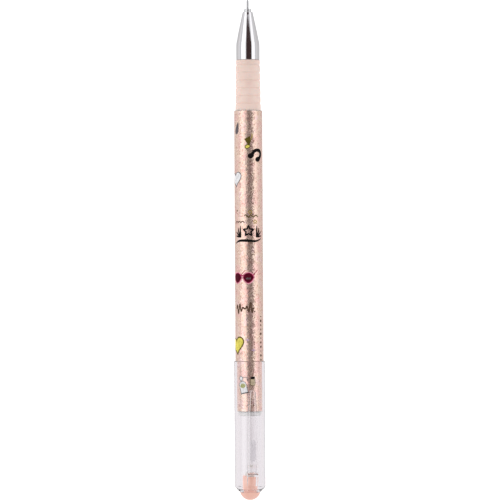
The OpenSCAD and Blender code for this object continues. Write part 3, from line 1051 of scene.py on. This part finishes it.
def make_doodles():
    """The drawings that face the front, then more of the same kind round the back."""
    front = [
        draw_leaf("slim_leaf", -4.3, 124.9, 2.1, "graphite", -14),
        draw_note("gold_note", -0.3, 118.7, 1.2),
        draw_beamed_notes("beamed_notes", 2.1, 115.5, 1.12),
        draw_heart("white_heart", -5.15, 108.0, 2.85, "white", "graphite", 8),
        draw_dots("tick", 0.9, 101.0, 0.22, "umber"),
        draw_dots("single_dot", -4.5, 97.2, 0.34, "umber"),
        draw_trinkets("trinkets", 0.9, 95.4, 1.0),
        draw_scallops("little_cloud", -3.4, 93.0, 0.62, "umber", humps=3, line=0.34),
        draw_flourish("flourish", -0.1, 89.7),
        draw_glasses("shield_glasses", -2.36, 74.8, 1.76),
        draw_wave("ragged_wave", -1.8, 64.3, 6.4, 3.4, "umber", bumps=5, line=0.5),
        draw_dots("wave_dot", 1.9, 63.4, 0.3, "umber"),
        draw_dots("dot_column", 4.5, 47.2, 0.42, "umber", count=11),
        draw_heart("yellow_heart", -5.0, 52.3, 3.35, "yellow", "olive", 8, width=0.45),
        draw_burst("lilac_glint", -0.7, 53.9, 0.8, "lilac", rays=4, hollow=0.0, width=0.3),
        draw_burst("lilac_dash", 1.5, 50.5, 0.9, "lilac", rays=4, hollow=0.0, width=0.3),
        draw_bottle("bottle", -2.2, 38.4, 1.5, TAIL_R, 14),
        draw_jar("jar", 1.0, 40.3, 1.0, TAIL_R),
    ]
    back = [
        draw_cloud("cloud", 10.6, 122.5, 2.4),
        draw_star("yellow_star", -10.4, 117.5, 2.0, "yellow", "black", 12),
        draw_balloon("balloon", 14.2, 112.8, 1.9, "pink"),
        draw_bolt("flash", -9.4, 106.0, 1.9),
        draw_flower("flower", 9.4, 103.5, 2.2, "lilac", "yellow"),
        draw_note("back_note", -13.4, 97.5, 1.2, "black", 8),
        draw_heart("pink_heart", 12.6, 92.6, 2.1, "pink", "burgundy", -12),
        draw_burst("black_rays", -9.8, 90.2, 2.0, "black", rays=10),
        draw_star("gold_star", 9.2, 83.0, 1.8, "gold", "olive", -8),
        draw_cloud("small_cloud", -12.6, 80.8, 2.2),
        draw_beamed_notes("back_notes", 13.2, 74.8, 1.2, -8),
        draw_balloon("yellow_balloon", -9.0, 71.5, 1.8, "yellow"),
        draw_flower("white_flower", 9.6, 65.0, 2.1, "white", "gold"),
        draw_wave("back_wave", -12.8, 61.5, 5.0, 2.4, "graphite", bumps=4, line=0.4),
        draw_heart("white_heart_back", 13.4, 56.0, 2.1, "white", "black", 10),
        draw_star("lilac_star", -9.2, 52.4, 1.7, "lilac", "graphite", 6),
        draw_star("tail_star", 8.6, 39.2, 1.7, "yellow", "olive", 6, TAIL_R),
        draw_heart("tail_heart", -9.6, 37.0, 1.8, "pink", "burgundy", 0, TAIL_R),
        draw_cloud("tail_cloud", 13.2, 36.0, 1.7, TAIL_R),
    ]
    for doodle in front + back:
        doodle.finish()


# ---------------------------------------------------------------- studio

def softbox(name, turn, width, length, brightness):
    """A soft panel along the pen, turned from straight above by degrees.

    Its brightness is what a mirror shows of it, on a scale where the world's white is 1."""
    light = bpy.data.lights.new(name, "AREA")
    light.shape = "RECTANGLE"
    light.size = width
    light.size_y = length
    light.energy = brightness * math.pi * width * length
    panel = bpy.data.objects.new(name, light)
    distance = 0.6
    a = math.radians(turn)
    panel.location = (distance * math.sin(a), 0, AXIS_Z + distance * math.cos(a))
    panel.rotation_euler = (0, a, 0)
    panel.visible_camera = False
    bpy.context.scene.collection.objects.link(panel)


def light_path_mix(tree, ray, first, second):
    """Shows the second shader to one kind of ray and the first to all others."""
    rays = tree.nodes.new("ShaderNodeLightPath")
    mix = tree.nodes.new("ShaderNodeMixShader")
    tree.links.new(rays.outputs[ray], mix.inputs[0])
    tree.links.new(first, mix.inputs[1])
    tree.links.new(second, mix.inputs[2])
    return mix.outputs["Shader"]


def make_floor():
    """A white floor that glows a little, so that shadows on it stay faint.

    Mirrors see it as grey with painted shade, darkest under the pen, and clear pieces let it through a little
    dimmed."""
    bm = bmesh.new()
    bmesh.ops.create_grid(bm, x_segments=2, y_segments=2, size=8)
    floor = finish_mesh(bm, "floor")
    m = Recipe("floor_white", Base_Color=(0.9, 0.9, 0.9), Roughness=0.8, Emission_Color=(1.0, 1.0, 1.0),
               Emission_Strength=0.55)
    # Painted shade for mirrors: a grey that is darkest straight under the pen's axis and lighter to each side
    side = m.node("SeparateXYZ")
    m.link(m.places(), side.inputs["Vector"])
    across = m.node("MapRange")
    across.inputs["From Min"].default_value = -0.05
    across.inputs["From Max"].default_value = 0.05
    m.link(side.outputs["X"], across.inputs["Value"])
    painted_shade_greys = m.ramp(across.outputs["Result"], (0.0, (0.88, 0.88, 0.88)), (0.5, (0.60, 0.60, 0.60)),
                   (1.0, (0.74, 0.74, 0.74)))
    grey = m.node("Emission")
    m.link(painted_shade_greys, grey.inputs["Color"])
    through = m.node("Emission")
    through.inputs["Color"].default_value = (0.875, 0.84, 0.862, 1)
    mirrored = light_path_mix(m.tree, "Is Glossy Ray", m.shader.outputs["BSDF"], grey.outputs["Emission"])
    seen = light_path_mix(m.tree, "Is Transmission Ray", mirrored, through.outputs["Emission"])
    m.tree.links.new(seen, m.tree.nodes["Material Output"].inputs["Surface"])
    floor.data.materials.append(m.material)
    floor.location.z = -0.00002


def make_dark_card():
    """A dark flag above the camera, seen in reflections and through clear pieces.

    It draws the dark stripe down the shiny pieces."""
    bm = bmesh.new()
    bmesh.ops.create_grid(bm, x_segments=1, y_segments=1, size=0.5)
    card = finish_mesh(bm, "dark_flag")
    card.scale = (1.35, 1.6, 1)
    card.location = (0.30, 0.02, 1.3)
    m = Recipe("flag_black", Base_Color=(0.01, 0.01, 0.01), Roughness=1.0,
               Emission_Color=(0.030, 0.009, 0.008), Emission_Strength=1.0)
    card.data.materials.append(m.material)
    card.visible_camera = False
    card.visible_diffuse = False
    card.visible_shadow = False


def make_world():
    """Plain white to the camera and a softer grey to the pen."""
    world = bpy.data.worlds.new("studio")
    bpy.context.scene.world = world
    world.use_nodes = True
    tree = world.node_tree
    fill = tree.nodes["Background"]
    fill.inputs["Color"].default_value = (0.97, 0.985, 1.0, 1)
    fill.inputs["Strength"].default_value = 0.72
    white = tree.nodes.new("ShaderNodeBackground")
    white.inputs["Color"].default_value = (1, 1, 1, 1)
    seen = light_path_mix(tree, "Is Camera Ray", fill.outputs["Background"], white.outputs["Background"])
    tree.links.new(seen, tree.nodes["World Output"].inputs["Surface"])


def make_camera():
    """A long lens straight above: the pen fills the frame's height and leans a third of a degree."""
    lens, sensor = 200, 36
    distance = 2 * HALF * MM * lens / sensor
    data = bpy.data.cameras.new("camera")
    data.lens = lens
    data.sensor_width = sensor
    camera = bpy.data.objects.new("camera", data)
    bpy.context.scene.collection.objects.link(camera)
    camera.location = (0.00037, -0.00007, AXIS_Z + distance)
    camera.rotation_euler = (0, 0, math.radians(-0.314))
    bpy.context.scene.camera = camera


def make_studio():
    make_floor()
    make_dark_card()
    make_world()
    softbox("left_softbox", -46, 0.50, 0.9, 0.70)
    softbox("right_softbox", 57, 0.38, 0.9, 0.55)
    bpy.context.scene.view_settings.view_transform = "Standard"


make_camera()
make_film()
make_tube()
make_grip()
make_tail_plug()
make_nose()
make_needle()
make_ball()
make_collar()
paint_refill()
make_cap()
make_clip()
make_clip_oval()
make_cap_plug()
make_doodles()
make_studio()
